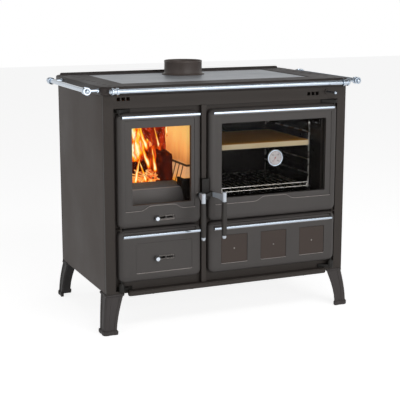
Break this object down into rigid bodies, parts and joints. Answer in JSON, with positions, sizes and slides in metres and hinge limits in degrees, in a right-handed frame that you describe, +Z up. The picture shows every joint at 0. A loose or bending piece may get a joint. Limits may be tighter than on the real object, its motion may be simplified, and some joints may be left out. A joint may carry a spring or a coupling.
{
  "type": "wood cookstove",
  "caption": "Wood-fired range cooker on cast legs, with firebox, ash pit, oven and store behind hinged doors, a steel hob and chrome rails.",
  "frame": {"origin": "middle of the stove's footprint, on the floor under its legs", "axes": "+X to the right as seen from the front, +Y to the back, +Z up"},
  "size_m": [1.062, 0.6564, 0.906],
  "materials": {
    "case_enamel": "satin enamel",
    "frame_enamel": "satin enamel",
    "door_iron": "satin enamel",
    "top_iron": "satin enamel",
    "leg_iron": "matt",
    "fire_iron": "matt",
    "hob_steel": "satin",
    "chrome": "polished",
    "black_steel": "satin",
    "grip_black": "satin",
    "glass": "smoked",
    "firebrick": "matt, fluted",
    "oven_enamel": "gloss enamel",
    "wire_steel": "bright",
    "stone": "matt",
    "dial": "satin"
  },
  "bodies": {
    "stove": {"leg_front_left": "leg_iron", "leg_front_right": "leg_iron", "leg_rear_left": "leg_iron", "leg_rear_right": "leg_iron", "front_frame": "frame_enamel", "base_plate": "frame_enamel", "base_moulding": "frame_enamel", "side_panel_left": "case_enamel", "side_panel_right": "case_enamel", "back_panel": "case_enamel", "top_frame": "top_iron", "hob_plate": "hob_steel", "flue_collar": "fire_iron", "front_rail": "chrome", "side_rail_left": "chrome", "side_rail_right": "chrome", "rail_bracket_front_left": "chrome", "rail_bracket_front_right": "chrome", "rail_bracket_left_front": "chrome", "rail_bracket_left_rear": "chrome", "rail_bracket_right_front": "chrome", "rail_bracket_right_rear": "chrome", "hinge_lug_fire_top": "black_steel", "hinge_lug_oven_top": "black_steel", "hinge_lug_ash_bottom": "black_steel", "hinge_lug_storage_bottom": "black_steel", "latch_keeper": "black_steel", "firebox": "fire_iron", "firebrick_left": "firebrick", "firebrick_right": "firebrick", "firebrick_back": "firebrick", "fire_grate": "fire_iron", "log_retainer": "fire_iron", "oven_box": "oven_enamel", "rack_runner_left": "wire_steel", "rack_runner_right": "wire_steel"},
    "fire_door": {"fire_door_frame": "door_iron", "fire_door_glass": "glass", "fire_door_trim": "chrome"},
    "fire_air": {"fire_air_slider": "chrome"},
    "fire_handle": {"fire_handle_lever": "chrome", "fire_handle_grip": "grip_black"},
    "oven_door": {"oven_door_frame": "door_iron", "oven_door_glass": "glass", "oven_door_trim": "chrome", "oven_thermometer": "dial"},
    "oven_handle": {"oven_handle_lever": "chrome", "oven_handle_grip": "grip_black"},
    "ash_door": {"ash_door_panel": "door_iron", "ash_door_trim": "chrome"},
    "ash_air": {"ash_air_slider": "chrome"},
    "storage_door": {"storage_door_frame": "door_iron", "storage_door_trim": "chrome", "storage_insert_1": "case_enamel", "storage_insert_2": "case_enamel", "storage_insert_3": "case_enamel"},
    "ash_pan": {"ash_pan": "oven_enamel"},
    "oven_rack": {"oven_rack": "wire_steel"},
    "baking_stone": {"baking_stone": "stone"},
    "damper": {"damper_rod": "chrome"}
  },
  "joints": [
    {"name": "fire_door_hinge", "type": "hinge", "parent": "stove", "child": "fire_door", "pos_m": [-0.412, -0.23375, 0.5675], "axis": [0, 0, -1], "range_deg": [0, 110]},
    {"name": "oven_door_hinge", "type": "hinge", "parent": "stove", "child": "oven_door", "pos_m": [0.412, -0.23375, 0.5675], "axis": [0, 0, 1], "range_deg": [0, 110]},
    {"name": "ash_door_hinge", "type": "hinge", "parent": "stove", "child": "ash_door", "pos_m": [-0.412, -0.23375, 0.273], "axis": [0, 0, -1], "range_deg": [0, 110]},
    {"name": "storage_door_hinge", "type": "hinge", "parent": "stove", "child": "storage_door", "pos_m": [0.412, -0.23375, 0.273], "axis": [0, 0, 1], "range_deg": [0, 110]},
    {"name": "fire_handle_turn", "type": "hinge", "parent": "fire_door", "child": "fire_handle", "pos_m": [-0.128, -0.25275, 0.47], "axis": [0, 1, 0], "range_deg": [0, 60]},
    {"name": "oven_handle_turn", "type": "hinge", "parent": "oven_door", "child": "oven_handle", "pos_m": [-0.078, -0.25275, 0.47], "axis": [0, -1, 0], "range_deg": [0, 60]},
    {"name": "fire_air_slide", "type": "slide", "parent": "fire_door", "child": "fire_air", "axis": [1, 0, 0], "range_m": [0, 0.03]},
    {"name": "ash_air_slide", "type": "slide", "parent": "ash_door", "child": "ash_air", "axis": [1, 0, 0], "range_m": [0, 0.03]},
    {"name": "ash_pan_slide", "type": "slide", "parent": "stove", "child": "ash_pan", "axis": [0, -1, 0], "range_m": [0, 0.11]},
    {"name": "oven_rack_slide", "type": "slide", "parent": "stove", "child": "oven_rack", "axis": [0, -1, 0], "range_m": [0, 0.2]},
    {"name": "baking_stone_slide", "type": "slide", "parent": "stove", "child": "baking_stone", "axis": [0, -1, 0], "range_m": [0, 0.2]},
    {"name": "damper_slide", "type": "slide", "parent": "stove", "child": "damper", "axis": [0, 1, 0], "range_m": [0, 0.045]}
  ],
  "couplings": [
    {"joint": "ash_pan_slide", "follows": "ash_door_hinge", "m_per_rad": 0.0572},
    {"joint": "oven_rack_slide", "follows": "oven_door_hinge", "m_per_rad": 0.104},
    {"joint": "baking_stone_slide", "follows": "oven_door_hinge", "m_per_rad": 0.104}
  ]
}
